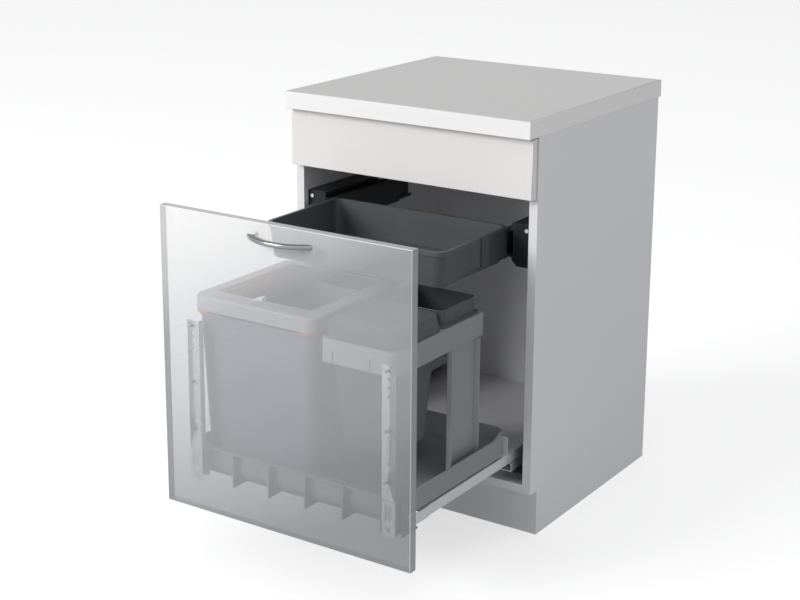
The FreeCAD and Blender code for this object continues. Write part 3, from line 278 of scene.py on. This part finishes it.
def milky(name, low_z, high_z, half):
    """See-through front: white above, greyer and denser towards its foot and its right end.

    Its rim faces are nearly solid grey, with a painted highlight on the arris, and its back face adds
    nothing.
    """
    s = Shader(name)
    split = s.add("ShaderNodeSeparateXYZ")
    s.join(s.coordinates, "Object", split, "Vector")
    aside = s.math("MULTIPLY", s.math("ADD", split, "X", half), "Value", -MILK_TILT)
    height = s.math("ADD", split, "Z", other=(aside, "Value"))
    rise = s.spread(height, "Value", 0, 1, low_z - MILK_TILT * half * 2 + MILK_FOOT, high_z)
    ramp = s.ramp(rise, "Result", [(place, color) for place, _, *color in MILK])
    density = s.ramp(rise, "Result", [(place, (dense,) * 3) for place, dense, *_ in MILK])
    cloud = s.noise(2.2, 3)
    drift = s.spread(cloud, "Fac", 0.985, 1.015)
    geometry = s.add("ShaderNodeNewGeometry")
    normal = s.add("ShaderNodeSeparateXYZ")
    s.join(geometry, "True Normal", normal, "Vector")
    upright = s.math("ABSOLUTE", normal, "Y")
    rim = s.math("LESS_THAN", upright, "Value", RIM_BELOW)
    arris = s.math("LESS_THAN", upright, "Value", FLAT_ABOVE)
    behind = s.math("GREATER_THAN", normal, "Y", FLAT_ABOVE)
    # Painted highlight: the arris faces take a pale grey that stands in for light caught on the edge.
    plain = s.mix(arris, "Value", (ramp, "Color"), (0.80, 0.80, 0.80))
    edged = s.mix(rim, "Value", (plain, "Result"), (0.36, 0.36, 0.365))
    s.join(edged, "Result", s.main, "Base Color")
    front = s.math("MULTIPLY", density, "Color", other=(drift, "Result"))
    edge = s.math("MULTIPLY", arris, "Value", 0.85)
    solid = s.math("MAXIMUM", front, "Value", other=(edge, "Value"))
    clear = s.math("SUBTRACT", solid, "Value", other=(behind, "Value"))
    alpha = s.math("MAXIMUM", clear, "Value", 0.0)
    s.join(alpha, "Value", s.main, "Alpha")
    s.main.inputs["Roughness"].default_value = 0.3
    s.main.inputs["Specular IOR Level"].default_value = 0.2
    return s.material


front_low, front_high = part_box("front_panel")
worktop_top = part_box("worktop")[1].z
SEAM = 1.3 * MM
MATERIALS = {
    "worktop_laminate": laminate("worktop_laminate", (0.46, 0.455, 0.447), (0.88, 0.87, 0.86),
                                 worktop_top - SEAM),
    "carcass_board": board("carcass_board", (0.80, 0.80, 0.81)),
    "white_front": board("white_front", (0.80, 0.775, 0.765), 0.32),
    "milky_front": milky("milky_front", front_low.z, front_high.z, front_high.x),
    # The second colour is a painted dark reflection on the faces that turn up or down.
    "chrome": polished_with_painted_reflection("chrome", (0.50, 0.50, 0.51), (0.10, 0.10, 0.105)),
    "zinc_steel": metal("zinc_steel", (0.78, 0.785, 0.79), 0.42, (1, 0.03, 1), 0.55),
    "dark_steel": painted("dark_steel", (0.045, 0.05, 0.052)),
    "grey_plastic": plastic("grey_plastic", (0.225, 0.24, 0.275), 0.42),
    # Its front colour is painted light: faces square to the front and back are drawn lighter, as if
    # more strongly lit.
    "light_grey_plastic": plastic("light_grey_plastic", (0.26, 0.265, 0.275), 0.42,
                                  front=(0.42, 0.425, 0.435)),
    "anthracite_plastic": plastic("anthracite_plastic", (0.072, 0.08, 0.085), 0.42),
    "black_plastic": plastic("black_plastic", (0.012, 0.014, 0.015), 0.38),
    "orange_plastic": plastic("orange_plastic", (0.62, 0.20, 0.07), 0.45),
    "white_plastic": plastic("white_plastic", (0.80, 0.80, 0.80), 0.35),
}


def dress_cad():
    """Gives each CAD node the material of its slot; the see-through front casts no shadow."""
    for node, item in NODES.items():
        material = MATERIALS[SLOT_OF[node]]
        item.data.materials.clear()
        item.data.materials.append(material)
    NODES["front_panel"].visible_shadow = False


dress_cad()


# ---------------------------------------------------------------- softened edges

WELD = 0.004 * MM
SHORTEST_EDGE = 0.3 * MM
FLAT_ANGLE = math.radians(0.6)
SHARP_ANGLE = math.radians(34)


def clean_mesh(node):
    """The node's mesh with its split corners joined and its flat faces whole."""
    bm = bmesh.new()
    bm.from_mesh(NODES[node].data)
    bmesh.ops.remove_doubles(bm, verts=bm.verts, dist=WELD)
    bmesh.ops.dissolve_limit(bm, angle_limit=FLAT_ANGLE, verts=bm.verts, edges=bm.edges,
                             delimit={"NORMAL"})
    return bm


def add_piece(name, bm, node):
    """Makes a piece that rides on the node's body and stands in for it."""
    mesh = bpy.data.meshes.new(name)
    bm.normal_update()
    for face in bm.faces:
        face.smooth = True
    bm.to_mesh(mesh)
    bm.free()
    piece = bpy.data.objects.new(name, mesh)
    bpy.context.scene.collection.objects.link(piece)
    mesh.materials.append(MATERIALS[SLOT_OF[node]])
    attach(piece, BODY_OF[node])
    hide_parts(node)
    return piece


def is_sharp(edge):
    joins_two = len(edge.link_faces) == 2
    return joins_two and edge.calc_face_angle(0) > SHARP_ANGLE and edge.calc_length() > SHORTEST_EDGE


def soften(node, width, segments):
    """Stands a copy with rounded edges in for a CAD node."""
    bm = clean_mesh(node)
    edges = [edge for edge in bm.edges if is_sharp(edge)]
    bmesh.ops.bevel(bm, geom=edges, offset=width * MM, offset_type="OFFSET", segments=segments,
                    profile=0.6, affect="EDGES", clamp_overlap=True)
    piece = add_piece("soft_" + node, bm, node)
    weigh = piece.modifiers.new("weigh", "WEIGHTED_NORMAL")
    weigh.weight = 100


SOFTENED = {
    # node: width of its rounded edges in millimetres
    "worktop": 0.8, "side_panel_left": 0.8, "side_panel_right": 0.8, "plinth_board": 0.8,
    "bottom_panel": 0.6, "blank_front": 1.2, "tray": 0.9, "big_bin": 0.9, "bag_frame": 1.6,
    "holder_frame": 1.2, "holder_leg": 0.6, "small_bin": 0.9, "rear_box": 1.0, "small_bin_lid": 3.0,
    "base_frame": 0.8, "slide_housing_left": 1.2, "slide_housing_right": 1.2, "latch_tab": 0.8,
    "bag_comb": 0.5, "handle": 1.0,
}
WIDE_EDGE = 1.4
for softened, edge_width in SOFTENED.items():
    soften(softened, edge_width, 3 if edge_width > WIDE_EDGE else 2)


# ---------------------------------------------------------------- stage

FLOOR_REACH = 60
FLOOR_GLOW = 0.58
ROOM_STRENGTH = 0.48


def make_floor():
    """A grey floor that looks white to the camera and keeps the object's shadow."""
    mesh = bpy.data.meshes.new("floor")
    reach = FLOOR_REACH
    corners = [(-reach, -reach, 0), (reach, -reach, 0), (reach, reach, 0), (-reach, reach, 0)]
    mesh.from_pydata(corners, [], [(0, 1, 2, 3)])
    floor = bpy.data.objects.new("floor", mesh)
    bpy.context.scene.collection.objects.link(floor)
    s = Shader("floor")
    s.main.inputs["Roughness"].default_value = 0.8
    s.main.inputs["Base Color"].default_value = (0.5, 0.5, 0.5, 1)
    glow = s.add("ShaderNodeEmission")
    glow.inputs["Color"].default_value = (1, 1, 1, 1)
    path = s.add("ShaderNodeLightPath")
    seen = s.add("ShaderNodeMath", operation="MULTIPLY")
    seen.inputs[1].default_value = FLOOR_GLOW
    s.join(path, "Is Camera Ray", seen, 0)
    s.join(seen, "Value", glow, "Strength")
    both = s.add("ShaderNodeAddShader")
    s.join(s.main, "BSDF", both, 0)
    s.join(glow, "Emission", both, 1)
    s.join(both, "Shader", s.output, "Surface")
    floor.data.materials.append(s.material)


def make_world():
    """A soft room for the light, and white for what the camera, metal and glass see."""
    world = bpy.data.worlds.new("studio")
    bpy.context.scene.world = world
    world.use_nodes = True
    tree = world.node_tree
    tree.nodes.clear()
    output = tree.nodes.new("ShaderNodeOutputWorld")
    room = tree.nodes.new("ShaderNodeBackground")
    white = tree.nodes.new("ShaderNodeBackground")
    mix = tree.nodes.new("ShaderNodeMixShader")
    path = tree.nodes.new("ShaderNodeLightPath")
    room.inputs["Color"].default_value = (0.96, 0.97, 1.0, 1)
    room.inputs["Strength"].default_value = ROOM_STRENGTH
    white.inputs["Color"].default_value = (1, 1, 1, 1)
    white.inputs["Strength"].default_value = 1.0
    most = tree.nodes.new("ShaderNodeMath")
    most.operation = "MAXIMUM"
    more = tree.nodes.new("ShaderNodeMath")
    more.operation = "MAXIMUM"
    tree.links.new(path.outputs["Is Camera Ray"], most.inputs[0])
    tree.links.new(path.outputs["Is Glossy Ray"], most.inputs[1])
    tree.links.new(most.outputs[0], more.inputs[0])
    tree.links.new(path.outputs["Is Transmission Ray"], more.inputs[1])
    tree.links.new(more.outputs[0], mix.inputs["Fac"])
    tree.links.new(room.outputs[0], mix.inputs[1])
    tree.links.new(white.outputs[0], mix.inputs[2])
    tree.links.new(mix.outputs[0], output.inputs["Surface"])


def area_light(name, place, target, size, power):
    data = bpy.data.lights.new(name, "AREA")
    data.shape = "RECTANGLE"
    data.size, data.size_y = size
    data.energy = power
    lamp = bpy.data.objects.new(name, data)
    lamp.location = place
    way = Vector(target) - Vector(place)
    lamp.rotation_euler = way.to_track_quat("-Z", "Y").to_euler()
    bpy.context.scene.collection.objects.link(lamp)


def make_lights():
    middle = (0, -0.4, 0.45)
    area_light("key_light", (-4.8, -7.4, 4.6), middle, (4.4, 4.4), 620)
    area_light("top_light", (0.6, -0.6, 5.4), middle, (4.0, 4.0), 38)
    area_light("side_light", (6.0, -1.6, 2.6), middle, (3.0, 3.0), 34)


def make_camera():
    """The photograph's view: 800 x 600, its horizon raised by a small shift."""
    width, height = 800, 600
    focal_px = 1629.2
    centre_px = (395.5, 220.0)
    azimuth, elevation, roll = 33.73, 14.46, 0.28
    place = Vector((1.8126, -3.3250, 1.5042))
    data = bpy.data.cameras.new("photo_camera")
    data.sensor_width = 36
    data.lens = focal_px / width * data.sensor_width
    data.shift_x = (width / 2 - centre_px[0]) / width
    data.shift_y = (centre_px[1] - height / 2) / width
    data.clip_end = 100
    camera = bpy.data.objects.new("photo_camera", data)
    a, e = math.radians(azimuth), math.radians(elevation)
    way = Vector((-math.sin(a) * math.cos(e), math.cos(a) * math.cos(e), -math.sin(e)))
    turn = way.to_track_quat("-Z", "Y").to_matrix().to_4x4()
    camera.matrix_world = Matrix.Translation(place) @ turn @ Matrix.Rotation(math.radians(roll), 4, "Z")
    bpy.context.scene.collection.objects.link(camera)
    bpy.context.scene.camera = camera


make_floor()
make_world()
make_lights()
make_camera()
bpy.context.scene.view_settings.view_transform = "Standard"
